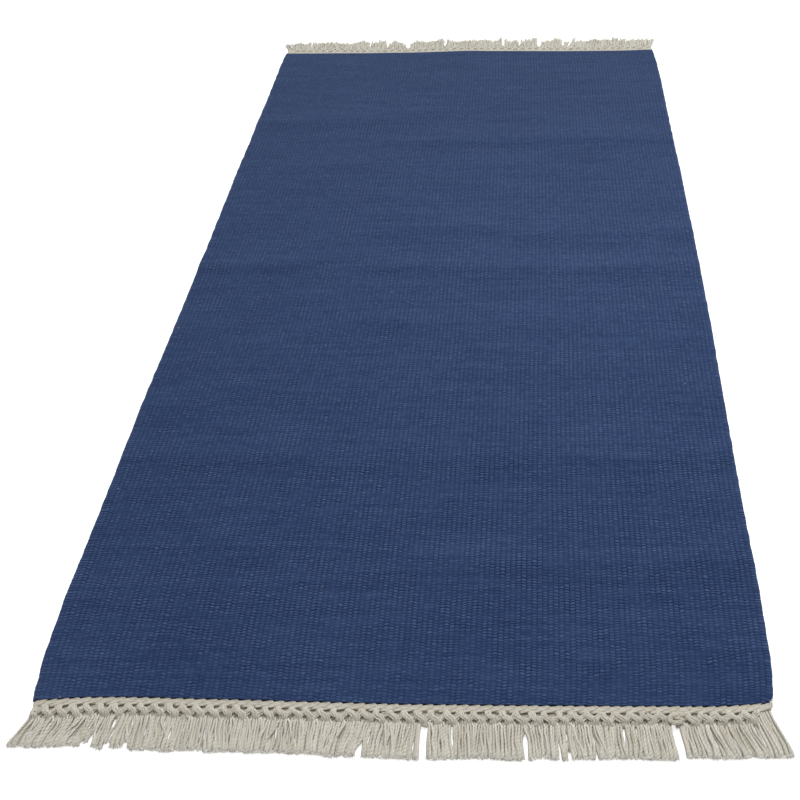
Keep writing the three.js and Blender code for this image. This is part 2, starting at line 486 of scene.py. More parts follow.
def rolledTube(sides, rings, roundness=1.0):
    # a closed tube rolled from a grid: x, y hold the turn round it and z the share along it
    bm = bmesh.new()
    bm.loops.layers.uv.new("yarn")
    bmesh.ops.create_grid(bm, x_segments=sides, y_segments=rings, size=0.5, calc_uvs=True)
    for vertex in bm.verts:
        turn = (vertex.co.x + 0.5) * math.tau
        flat = [math.copysign(abs(part) ** roundness, part) for part in (math.cos(turn), math.sin(turn))]
        vertex.co = (flat[0], flat[1], vertex.co.y + 0.5)
    bmesh.ops.remove_doubles(bm, verts=bm.verts, dist=1e-5)
    bmesh.ops.holes_fill(bm, edges=[edge for edge in bm.edges if edge.is_boundary], sides=sides)
    bmesh.ops.recalc_face_normals(bm, faces=bm.faces)
    # turned inside out here, because the frame in which layTube lays it turns it back
    bmesh.ops.reverse_faces(bm, faces=bm.faces)
    return meshFrom("tube", bm)


runStep = 0.01  # how far ahead and behind a place the direction of its tube is read
paintedLightFade = 0.15  # how gently a yarn turns into its end painted lighter, its painted shade lifted and a pale colour mixed in
neverBare, alwaysBare = 2, -1  # places of that end off the yarn


def newYarnMesh():
    bm = bmesh.new()
    bm.loops.layers.uv.new("yarn")
    bm.verts.layers.float.new("tone")
    bm.verts.layers.float.new("paintedLight")
    return bm


def layTube(bm, tube, sectionAt, length, tone, start=0, paintedLightFrom=neverBare):
    # carries a rolled tube along a line: sectionAt gives its middle, half width and half height
    firstVertex, firstFace = len(bm.verts), len(bm.faces)
    bm.from_mesh(tube)
    bm.verts.ensure_lookup_table()
    bm.faces.ensure_lookup_table()
    toneLayer = bm.verts.layers.float["tone"]
    paintedLightLayer = bm.verts.layers.float["paintedLight"]
    uvLayer = bm.loops.layers.uv["yarn"]
    sections = {}
    for vertex in bm.verts[firstVertex:]:
        share = round(vertex.co.z, 5)
        if share not in sections:
            middle, width, height = sectionAt(share)
            ahead, behind = min(share + runStep, 1), max(share - runStep, 0)
            run = (sectionAt(ahead)[0] - sectionAt(behind)[0]).normalized()
            side = run.cross(Vector((0, 0, 1))).normalized()
            sections[share] = (middle, side * width, side.cross(run) * height)
        middle, side, up = sections[share]
        vertex.co = middle + side * vertex.co.x + up * vertex.co.y
        vertex[toneLayer] = tone
        vertex[paintedLightLayer] = easeBetween(paintedLightFrom, paintedLightFrom + paintedLightFade, share)
    for face in bm.faces[firstFace:]:
        for loop in face.loops:
            loop[uvLayer].uv.y = start + loop[uvLayer].uv.y * length


def routeLength(points):
    return sum((b - a).length for a, b in zip(points, points[1:]))


def either(chance, reach):
    # a random amount to either side of nothing
    return chance.uniform(-reach, reach)


fieldShape = {
    "ribs": 128,
    "columnsPerRib": 3,
    "rows": 126,
    "ribDepth": 0.42 * mm,
    "ribTop": 0.25 * mm,
    "beads": 420,
    "inset": 4.6 * mm,
    "unevenness": 0.35 * mm,
    "unevenSize": 70 * mm,
    "wobble": 0.35 * mm,
    "wobbleSize": 60 * mm,
    "wobbleOffset": (7, 3, 1),
    "ribRoundness": 0.7,
    "sharpAngle": 1.2,
    "rowsAtFold": 1.6,
    "foldReach": 30 * mm,
    "rowSteps": 1400,
}
# sharper crests on the folds, and one dip: y, from x, to x, rise, width, all in mm
creases = [
    (422, -315, -185, 0.8, 52), (356, -45, 80, 0.55, 42), (356, 95, 345, 0.8, 46), (97, -40, 60, 0.5, 36),
    (80, 120, 352, 0.75, 38), (5, -350, -235, 1.0, 44), (-9, -60, 65, 0.8, 42), (-12, 85, 352, 1.15, 44),
    (3, -190, -105, -2.0, 70), (-137, -60, 110, 0.8, 40), (-142, 110, 290, 0.4, 36),
    (-379, -352, -150, 1.0, 42), (-388, -120, 80, 0.95, 42), (-381, 90, 352, 1.2, 42),
    (-372, 290, 352, 1.4, 40), (-512, -352, -150, 0.6, 22), (-523, -70, 100, 0.55, 22),
    (-537, 95, 352, 1.3, 44), (-652, 150, 340, 0.45, 40), (-60, -40, 60, 0.4, 30),
    (281, -345, -70, 0.75, 60), (612, 100, 190, 0.35, 34), (576, 190, 345, 0.5, 38),
]
creaseRunOut = 40
creaseBack, creaseFront = 0.86, 1.2  # a crest falls off faster on its back


def creaseRise(x, y):
    # the extra height that the crests give the cloth at a point
    up = down = 0
    for line, fromX, toX, height, width in creases:
        away = y / mm - line
        away = abs(away) / (width / 2 * (creaseBack if away > 0 else creaseFront))
        if away < 1:
            ends = min(x / mm - fromX + creaseRunOut, toX + creaseRunOut - x / mm)
            crest = height * mm * math.cos(away * math.pi / 2) ** 2 * easeBetween(0, creaseRunOut, ends)
            up, down = max(up, crest), min(down, crest)
    return up + down


def rowPlaces(count):
    # shares of the length for the rows, closer together at the folds
    fine = fieldShape["rowSteps"]
    lines = [crease[0] * mm for crease in creases]
    sums = [0]
    for step in range(fine):
        y = ((step + 0.5) / fine - 0.5) * clothLength
        near = min(abs(y - line) for line in lines) / fieldShape["foldReach"]
        sums.append(sums[-1] + 1 + fieldShape["rowsAtFold"] * max(0, 1 - near))
    places, step = [], 0
    for row in range(count + 1):
        target = sums[-1] * row / count
        while step < fine - 1 and sums[step + 1] < target:
            step += 1
        places.append((step + (target - sums[step]) / (sums[step + 1] - sums[step])) / fine)
    return places


def makeField():
    shape = fieldShape
    bm = bmesh.new()
    uvLayer = bm.loops.layers.uv.new("weave")
    across = shape["ribs"] * shape["columnsPerRib"]
    places = rowPlaces(shape["rows"])
    bmesh.ops.create_grid(bm, x_segments=across, y_segments=shape["rows"], size=0.5, calc_uvs=True)
    for face in bm.faces:
        for loop in face.loops:
            uv = loop[uvLayer].uv
            along = places[round(uv.y * shape["rows"])]
            loop[uvLayer].uv = (uv.x * shape["ribs"], along * shape["beads"])
    copied = bmesh.ops.extrude_face_region(bm, geom=bm.faces[:])["geom"]
    below = {part for part in copied if isinstance(part, bmesh.types.BMVert)}
    rows = {}
    for vertex in bm.verts:
        shareX, shareY = vertex.co.x + 0.5, places[round((vertex.co.y + 0.5) * shape["rows"])]
        if shareY not in rows:
            row = clothRow(shareY)
            rows[shareY] = (row, shape["inset"] / (row[-1].x - row[0].x))
        row, inset = rows[shareY]
        point = alongPoints(row, inset + shareX * (1 - 2 * inset))
        flat = Vector((point.x, point.y, 0))
        drift = noise.noise(flat / shape["wobbleSize"] + Vector(shape["wobbleOffset"]))
        uneven = 0.5 + 0.5 * noise.noise(flat / shape["unevenSize"])
        rib = abs(math.sin(math.pi * shareX * shape["ribs"])) ** shape["ribRoundness"]
        dip = shape["ribDepth"] * (1 - rib)
        lift = point.z - clothThickness + shape["unevenness"] * uneven + creaseRise(point.x, point.y)
        lift = max(lift, 0)
        if vertex in below:
            z = lift + dip
        else:
            z = lift + clothThickness + shape["ribTop"] - dip
        vertex.co = (point.x + shape["wobble"] * drift, point.y, z)
    bmesh.ops.recalc_face_normals(bm, faces=bm.faces)
    for edge in bm.edges:
        edge.smooth = edge.calc_face_angle(0) < shape["sharpAngle"]
    return finishPiece("field_cloth", bm, blueWool, "field")


cordShape = {
    "rings": 640,
    "sides": 8,
    "halfWidth": 4 * mm,
    "halfHeight": 2.6 * mm,
    "turnPitch": 6.67 * mm,
    "turnDepth": 0.25 * mm,
    "nickPitch": 14 * mm,
    "nickDepth": 0.75 * mm,
    "giveUp": 0.3,
    "flare": 0.4,
    "flareRange": (0.2, 0.05),
    "startRange": (-0.003, 0.012),
    "inRibs": 0.9,
    "tone": 0.5,
}


def makeSideCord(name, column, outward, seed):
    # the weft turned round the last warps, a little uneven from pick to pick
    shape = cordShape
    line = [row[column] for row in cloth]
    inward = 1 if column == 0 else -1
    length = routeLength(line)
    uneven = noise.noise(Vector((seed, 0, 0)))

    def sectionAt(share):
        point = alongPoints(line, share)
        turn = abs(math.sin(math.pi * share * length / shape["turnPitch"]))
        nick = noise.noise(Vector((seed, share * length / shape["nickPitch"], uneven)))
        give = shape["turnDepth"] * turn + shape["nickDepth"] * nick
        width = shape["halfWidth"] + 0.5 * give
        # the cord stands out of the cloth, more so near the front, and draws in at the very corner
        beyond = outward * (1 + shape["flare"] * easeBetween(*shape["flareRange"], share))
        beyond *= easeBetween(*shape["startRange"], share)
        x = point.x + inward * (shape["halfWidth"] - 0.5 * give - beyond)
        height = shape["halfHeight"] + shape["giveUp"] * give
        return Vector((x, point.y, max(point.z - clothThickness / 2, height))), width, height

    bm = newYarnMesh()
    layTube(bm, rolledTube(shape["sides"], shape["rings"]), sectionAt, length, shape["tone"])
    uvLayer = bm.loops.layers.uv.new("weave")
    around = bm.loops.layers.uv["yarn"]
    beads = fieldShape["beads"] / length
    for face in bm.faces:
        for loop in face.loops:
            uv = loop[around].uv
            loop[uvLayer].uv = (uv.x * 2 * shape["inRibs"], uv.y * beads)
    bm.loops.layers.uv.remove(around)
    return finishPiece(name, bm, blueWool, "field")


field = makeField()
sideCords = [
    makeSideCord("side_cord_left", column=0, outward=1.2 * mm, seed=2.3),
    makeSideCord("side_cord_right", column=-1, outward=1.7 * mm, seed=5.1),
]
print("field and side cords made")

headingShape = {
    "gap": 0.3 * mm,
    "width": 7 * mm,
    "rings": 120,
    "sides": 10,
    "halfWidth": 3.4 * mm,
    "halfHeight": 1.8 * mm,
    "middleHeight": 2.15 * mm,
    "coreShift": 0.1 * mm,
    "coreFrom": 0.005,
    "coreTo": 0.9985,
    "roundness": 0.6,
    "coreTone": 0.4,
    "wraps": 64,
    "wrapRings": 9,
    "wrapSides": 8,
    "wrapRoundness": 0.7,
    "wrapSizes": (0.9, 1.08),
    "wrapTones": (0, 0.6),
    "pairAside": 0.5 * mm,
    "pairOut": 0.95 * mm,
    # in mm: how unevenly the wraps and their points lie, and how far they rise onto the wool
    "uneven": 0.7,
    "unevenPoint": 0.3,
    "reachUp": (0.1, 1.0),
    "reachBelow": 2,
    "leftCorner": (0.025, 0),
    "rightCorner": (0.95, 1),
    "cornerRise": 2.4 * mm,
    "cornerGrowth": 0.5,
    "sideMargin": 1.2,
    "outMargin": 0.6,
    # the way of one wrap: mm to the right, mm out from the cloth, mm up, half width, half height
    "wrap": [
        (-10.6, 5.8, 2.6, 1.4, 0.45), (-8.2, 5.3, 3.4, 1.6, 0.45), (-4.4, 4.5, 3.65, 1.7, 0.45),
        (-0.4, 3.2, 3.7, 1.7, 0.45), (3.2, 2.15, 3.75, 1.7, 0.45), (5.25, 1.15, 3.88, 1.8, 0.62),
        (6, -0.1, 3.82, 1.8, 0.88),
    ],
}


def makeHeading(name, side, replaced, seed):
    # a flat core along the end of the cloth, wrapped slantwise with pairs of yarns that rise onto the wool
    shape = headingShape
    row = endRows[side]
    chance = random.Random(seed)
    length = routeLength(row)
    bm = newYarnMesh()

    def coreAt(share):
        point = alongPoints(row, shape["coreFrom"] + share * (shape["coreTo"] - shape["coreFrom"]))
        y = point.y + side * (shape["gap"] + shape["width"] / 2 - shape["coreShift"])
        return Vector((point.x, y, shape["middleHeight"])), shape["halfWidth"], shape["halfHeight"]

    core = rolledTube(shape["sides"], shape["rings"], shape["roundness"])
    layTube(bm, core, coreAt, length, shape["coreTone"])
    tube = rolledTube(shape["wrapSides"], shape["wrapRings"], shape["wrapRoundness"])
    left, right = row[0].x, row[-1].x
    for wrap in range(shape["wraps"]):
        share = (wrap + 0.5) / shape["wraps"]
        middle = left + share * (right - left) + either(chance, shape["uneven"]) * mm
        corner = max(easeBetween(*shape["leftCorner"], share), easeBetween(*shape["rightCorner"], share))
        size = chance.uniform(*shape["wrapSizes"]) + shape["cornerGrowth"] * corner
        for beside in (-1, 1):
            middles, sizes = [], []
            reachUp = chance.uniform(*shape["reachUp"]) * mm + shape["cornerRise"] * corner
            for aside, out, z, width, height in shape["wrap"]:
                x = middle + (aside + either(chance, shape["unevenPoint"])) * mm + beside * shape["pairAside"]
                margin = (shape["sideMargin"] + shape["outMargin"] * max(out, 0)) * mm
                x = min(max(x, left + margin), right - shape["sideMargin"] * mm)
                rise = reachUp if out < shape["reachBelow"] else 0
                out = out * mm + beside * shape["pairOut"] - rise
                middles.append(Vector((x, side * (endReach(side, x) + shape["gap"] + out), z * mm)))
                sizes.append(Vector((width, height, 0)) * mm * size)

            def yarnAt(share):
                section = alongPoints(sizes, share)
                return alongPoints(middles, share), section.x, section.y

            tone = chance.uniform(*shape["wrapTones"])
            layTube(bm, tube, yarnAt, routeLength(middles), tone, chance.random())
    return finishPiece(name, bm, headingYarn, replaced)


headings = [
    makeHeading("heading_cord_front", -1, "heading_front", 11),
    makeHeading("heading_cord_back", 1, "heading_back", 12),
]
print("headings made")

# tips: x, reach from the middle of the rug, lean, all in mm
# partings: x and width in mm, shares of the strand where it opens and closes again (over 1: stays open)
frontEnds = {
    "side": -1,
    "tipRise": 0,
    "tips": [
        (-352, 750, -9.5), (-300, 749, -7), (-285.5, 749, -6), (-284, 743.5, -6), (-280, 743.5, -5.5),
        (-278.5, 749.5, -5), (-268.5, 750, -4), (-267, 743.5, -4), (-260.5, 743.5, -3), (-259, 750.5, -3),
        (-253.5, 750.5, -2.5), (-252.5, 744, -2), (-248.5, 744, -2), (-247.5, 751, -1.5), (-200, 752, 1),
        (-120, 753, 1), (-75, 754.5, -1), (-50, 755.5, -5), (-24, 756.5, -5), (-2, 757, -2),
        (18, 757.5, -1), (34, 757.5, 2), (120, 757, 2), (130, 757, 2), (131, 751, 2), (134, 751, 2),
        (135, 757, 2), (138, 757, 2), (139, 752, 2), (141.5, 752, 2), (142.5, 757, 2),
        (154.5, 757, 2.5), (155.5, 750, 2.5), (160, 750, 2.5), (161, 757, 2.5),
        (228, 756, 3), (252, 755.5, 2.5), (264, 755, 4), (279, 754.5, 6.5), (300, 754, 9),
        (322, 753.5, 12), (349, 753.5, 14.5),
    ],
    "partings": [
        (-284, 5, 0.6, 2), (-33, 7, 0.6, 2), (26, 6.5, -0.2, 2), (121, 4.5, 0.22, 2),
        (262, 7.5, -0.2, 2), (-339, 1.2, 0.1, 0.9), (-330, 2, 0, 0.8), (-266, 3.2, -0.2, 0.7),
        (-249, 2, 0.1, 0.8), (-218, 1.5, 0, 0.8), (-157, 1.8, 0, 0.7), (-85, 1.5, -0.1, 0.6),
        (-66, 1, 0.3, 0.9), (-28, 1.6, 0, 0.7), (-15, 1, 0, 0.6), (52, 2.4, -0.1, 0.85),
        (168, 2.2, 0.1, 0.9), (211, 3.2, -0.1, 0.95), (223, 1.8, -0.1, 0.6),
    ],
    "ragged": 1,
    "trim": 2.8 * mm,
    "bedHeight": 1.0 * mm,
    "spike": 0,
    "spikeShare": 0,
    "lastKnot": 52,
    "loops": (46.15,),
}
backEnds = {
    "side": 1,
    "tipRise": 2.4 * mm,
    "tips": [
        (-353, 752, -9), (-340, 752, -4), (-280, 756, -3), (-238, 750, 0), (-224, 759, 0),
        (-212, 760, 0), (-206, 765, 0), (-201, 759, 0), (-180, 756, 0), (-167, 759, 2), (-160, 744, 0),
        (-140, 755, 0), (-118, 740, 0), (-100, 757, 0), (-66, 759, 1), (-58, 764, 2), (-50, 757, 0),
        (-20, 756, 0), (0, 761, 1), (20, 758, 0), (52, 754, 0), (59, 760, 0), (80, 755, 0),
        (100, 746, 0), (118, 754, 0), (125, 762, 3), (131, 756, 2), (140, 740, 0), (155, 752, 2),
        (166, 755, 0), (173, 762, 0), (179, 752, 0), (186, 746, 5), (193, 760, 11), (200, 740, 0),
        (220, 750, 2), (256, 752, 2), (274, 750, 0), (280, 762, 0), (287, 754, 3), (300, 746, 3),
        (320, 748, 4), (343, 747, 6), (350, 752, 12),
    ],
    "partings": [
        (-194, 3.5, 0.35, 2), (-159.6, 2.5, 0.4, 2), (-119.5, 8, 0.25, 2),
        (-47, 5, 0.3, 2), (65, 4, 0.25, 2), (98, 3.5, 0.3, 2), (136, 8, 0.2, 2), (182, 3, 0.4, 2),
        (198, 6, 0.2, 2), (291, 4, 0.6, 2),
    ],
    "ragged": 3.8,
    "trim": 4 * mm,
    "bedHeight": 1.95 * mm,
    "spike": 5 * mm,
    "spikeShare": 0.06,
    "lastKnot": 53,
    "loops": (),
}
knotShape = {
    "knots": 53,
    "coreSides": 8,
    "coreRings": 10,
    "yarnEvery": 0.74 * mm,
    "yarnSides": 6,
    "yarnRings": 12,
    "yarnRadius": 0.98 * mm,
    "aside": 0.7 * mm,
    "lower": 0.9 * mm,
    "tasselShift": 0.48,
    "twist": 0.5,
    "uneven": 0.3,
    "sizes": (0.84, 1.06),
    "growth": 0.1,
    "lumps": (0.92, 1.08),
    "leftMargin": 3,
    "widthMargin": 0.6,
    "rightMargin": 2.5,
    "coreSize": 0.8,
    "coreTone": 0.3,
    "yarnWaves": (0.06, 0.2),
    "yarnSizes": (0.85, 1.12),
    "waveTurn": 5,
    "yarnLimit": 0.95,
    "directionStep": 0.05,
    "sinkIn": 0.5,
    "drawIn": 0.6,
    # bundles whose ends lie lower than this and nearer to a gap than this many mm are painted lighter at
    # their ends
    "paintedLightNear": 8,
    "paintedLightBelow": 2 * mm,
    "paintedLightFrom": 0.9,
    # the bed, a low strip of yarn under the row like the warp ends beneath it, fills it from below and is cut
    # back at the gaps; lying low, it takes the painted shade and shows dark in the eyes and wedges
    "bedFrom": -2.5 * mm,
    "bedTo": 10.2 * mm,
    "bedCut": 5 * mm,
    "bedCutRange": (9, 4),
    "bedInset": 2 * mm,
    "bedSides": 8,
    "bedRings": 160,
    "bedRoundness": 0.6,
    # routes of the bundles: share of a knot to the right, mm out from the heading, mm up,
    # half width, half height
    "over": [
        (-0.06, -3.5, 1.9, 3.4, 1.2), (0, -1, 2.6, 3.5, 1.3), (0.04, 1.4, 3, 3.6, 1.4),
        (0.11, 3.6, 3.3, 3.6, 1.4), (0.26, 5.4, 3.8, 3.5, 1.4), (0.41, 6.7, 4, 3.8, 1.4),
        (0.5, 8.2, 3.8, 4.3, 1.4), (0.53, 10, 3.2, 4.7, 1.2), (0.54, 11.8, 2.3, 4.5, 0.9),
        (0.53, 13.8, 1.4, 4.5, 0.5),
    ],
    "under": [
        (0.06, -3.5, 1.9, 3.4, 1.2), (0, -1, 2.6, 3.5, 1.3), (-0.05, 1.4, 2.8, 3.6, 1.4),
        (-0.13, 3.6, 2.7, 3.6, 1.4), (-0.29, 5.4, 2.3, 3.5, 1.3), (-0.45, 6.7, 2.2, 3.8, 1.3),
        (-0.55, 8.2, 2.7, 4.3, 1.3), (-0.58, 10, 2.8, 4.6, 1.2), (-0.58, 11.8, 2.1, 4.4, 0.9),
        (-0.56, 13.8, 1.3, 4.5, 0.5),
    ],
    # the straight bundle that closes the side of the first knot
    "edge": [
        (0.2, -3.5, 1.9, 3, 1.2), (0.2, 1, 2.4, 3, 1.4), (0.2, 6, 2.4, 3.2, 1.4),
        (0.2, 10, 2, 3.6, 1.2), (0.16, 14, 1.4, 3.6, 0.7),
    ],
    # a slack loop lying over the row
    "loop": [
        (0.85, 1.2, 3.2, 2.4, 1.4), (0.45, 2.6, 4.6, 2.6, 1.4), (0, 3.3, 5.2, 2.8, 1.4),
        (-0.34, 4.8, 5.2, 2.9, 1.4), (-0.42, 7.8, 4.8, 3, 1.4), (-0.28, 10.6, 4.6, 2.9, 1.4),
        (0.1, 10.8, 4.6, 2.7, 1.4), (0.4, 9, 4.4, 2.7, 1.4), (0.34, 6.6, 4.8, 2.6, 1.4),
        (-0.08, 6.4, 5, 2.4, 1.3),
    ],
}
strandShape = {
    "radius": 1.28 * mm,
    "rings": 12,
    "sides": 6,
    "start": 9 * mm,
    # each layer: strands to a knot, shift in strands, lift, how wide they leave the knot
    "layers": {"lower": (6, 0, 0, 0.88), "upper": (5, 0.5, 1.1 * mm, 0.6)},
    "looseStart": -2.5 * mm,
    "looseFrom": 0.6,
    "liftBy": 0.12,
    "leftMargin": 1.2 * mm,
    "rightMargin": 2.5 * mm,
    "sizes": (0.88, 1.12),
    "cuts": (-1, 0.6),
    "jitter": (0.3, 0.7),
    "liftSizes": (0.7, 1.3),
    "hump": 1.2 * mm,
    "humpShare": 0.15,
    "humpEnd": 1.2,
    "gatherTo": 0.15,
    "leanRange": (0.05, 1.1),
    "wave": 0.75 * mm,
    "waveSpread": 0.5,
    "waveTurns": (5, 10),
    "waveStart": 3,
    "ripples": (0.1, 0.4),
    "rippleTurn": 15,
    "rippleShift": 1.7,
    "ownLean": 1.1 * mm,
    "strayShare": 0.1,
    "strayLean": 6 * mm,
    "tasselLean": 0.2 * mm,
    "groupLean": 2.5 * mm,
    "groupSize": 45 * mm,
    "partingSoft": 9 * mm,
    "partingEase": 0.3,
    "slitLean": 0.4,
    "spreadFrom": 0.55,
    "tipRiseFrom": 0.3,
    "tipFrom": 0.88,
    "tipWidth": 1.5,
    "tipHeight": 0.5,
    "tipDrop": 0.2,
    "tufts": 5,
    "tuftSides": 4,
    "tuftRings": 3,
    "tuftRadius": 0.45 * mm,
    "tuftSizes": (0.7, 1.2),
    "tuftTaper": 0.4,
    "tuftFoot": (0.8, 1.5 * mm, 0.6),
    "tuftAside": 0.5,
    "tuftOut": (1.6, 3.6),
    "tuftLength": 3 * mm,
    "reachLimit": 764 * mm,
    "spill": (10.5 * mm, 12.5 * mm),
}


def endFrame(side):
    # the x of both corners, how far from the cloth the fringe starts, and the width of a knot
    left, right = endRows[side][0].x, endRows[side][-1].x
    return left, right, headingShape["gap"] * 2 + headingShape["width"], (right - left) / knotShape["knots"]


def makeKnots(name, ends, material, replaced, seed):
    # a row of crossed bundles: one goes over to the right, the next one under it to the left
    shape = knotShape
    side = ends["side"]
    left, right, inner, pitch = endFrame(side)
    chance = random.Random(seed)
    bm = newYarnMesh()
    core = rolledTube(shape["coreSides"], shape["coreRings"])
    yarn = rolledTube(shape["yarnSides"], shape["yarnRings"])
    gaps = [place for place, _, opens, closes in ends["partings"] if opens < 0 and closes > 1]

    def layBundle(post, route):
        # a solid core with a few yarns side by side over it
        size = chance.uniform(*shape["sizes"]) + shape["growth"] * (post / shape["knots"] - 0.5)
        aside = chance.gauss(0, shape["aside"])
        lower = chance.gauss(0, shape["lower"])
        twist = either(chance, shape["twist"])
        middles, sizes = [], []
        for along, out, z, width, height in route:
            x = left + (post + along) * pitch + aside + either(chance, shape["uneven"]) * mm
            margin = (shape["leftMargin"] + shape["widthMargin"] * width) * mm
            x = min(max(x, left + margin), right - shape["rightMargin"] * mm)
            drop = lower if out > 2 else 0
            out = (out + either(chance, shape["uneven"])) * mm + drop
            middles.append(Vector((x, side * (endReach(side, x) + inner + out), z * mm)))
            lump = size * chance.uniform(*shape["lumps"])
            sizes.append(Vector((width * mm * lump, height * mm * lump, 0)))
        length = routeLength(middles)

        def coreAt(share):
            section = alongPoints(sizes, share)
            return alongPoints(middles, share), section.x * shape["coreSize"], section.y * shape["coreSize"]

        yarns = round(sizes[1].x / shape["yarnEvery"])
        # where the fringe is parted under it, the low ends of a bundle are painted lighter: their painted
        # shade is lifted and a pale colour mixed in
        nearGap = any(abs(middles[-1].x / mm - place) < shape["paintedLightNear"] for place in gaps)
        paintedLightFrom = shape["paintedLightFrom"] if nearGap and middles[-1].z < shape["paintedLightBelow"] else neverBare
        layTube(bm, core, coreAt, length, shape["coreTone"], chance.random(), paintedLightFrom)
        for number in range(yarns):
            even = (number + 0.5) / yarns * 2 - 1
            wave, phase = chance.uniform(*shape["yarnWaves"]), chance.uniform(0, math.tau)
            radius = shape["yarnRadius"] * chance.uniform(*shape["yarnSizes"])

            def yarnAt(share):
                section = alongPoints(sizes, share)
                ahead = alongPoints(middles, min(share + shape["directionStep"], 1))
                run = ahead - alongPoints(middles, max(share - shape["directionStep"], 0))
                across = Vector((run.y, -run.x, 0)).normalized()
                place = even + wave * math.sin(phase + shape["waveTurn"] * share) + twist * (share - 0.5)
                place = min(max(place, -shape["yarnLimit"]), shape["yarnLimit"])
                rise = math.sqrt(1 - place * place) * section.y - shape["sinkIn"] * radius
                beside = section.x - shape["drawIn"] * radius
                middle = alongPoints(middles, share) + across * place * beside
                middle.z = max(middle.z + rise, radius)
                return middle, radius, radius

            layTube(bm, yarn, yarnAt, length, chance.random(), chance.random(), paintedLightFrom)

    layBundle(0, shape["edge"])
    for post in range(ends["lastKnot"] + 1):
        if post > 0:
            layBundle(post, shape["under"])
        if post < ends["lastKnot"]:
            layBundle(post, shape["over"])
    for post in ends["loops"]:
        layBundle(post, shape["loop"])

    bedEnd = left + ends["lastKnot"] * pitch - shape["bedInset"]

    def bedAt(share):
        x = left + shape["bedInset"] + share * (bedEnd - left - shape["bedInset"])
        bedTo = shape["bedTo"]
        for place in gaps:
            bedTo -= shape["bedCut"] * easeBetween(*shape["bedCutRange"], abs(x / mm - place))
        y = endReach(side, x) + inner + (shape["bedFrom"] + bedTo) / 2
        width = (bedTo - shape["bedFrom"]) / 2
        return Vector((x, side * y, ends["bedHeight"])), width, ends["bedHeight"]

    # the bed lies low, so the painted shade makes it dark where it shows between the bundles
    bed = rolledTube(shape["bedSides"], shape["bedRings"], shape["bedRoundness"])
    layTube(bm, bed, bedAt, right - left, 0)
    return finishPiece(name, bm, material, replaced)


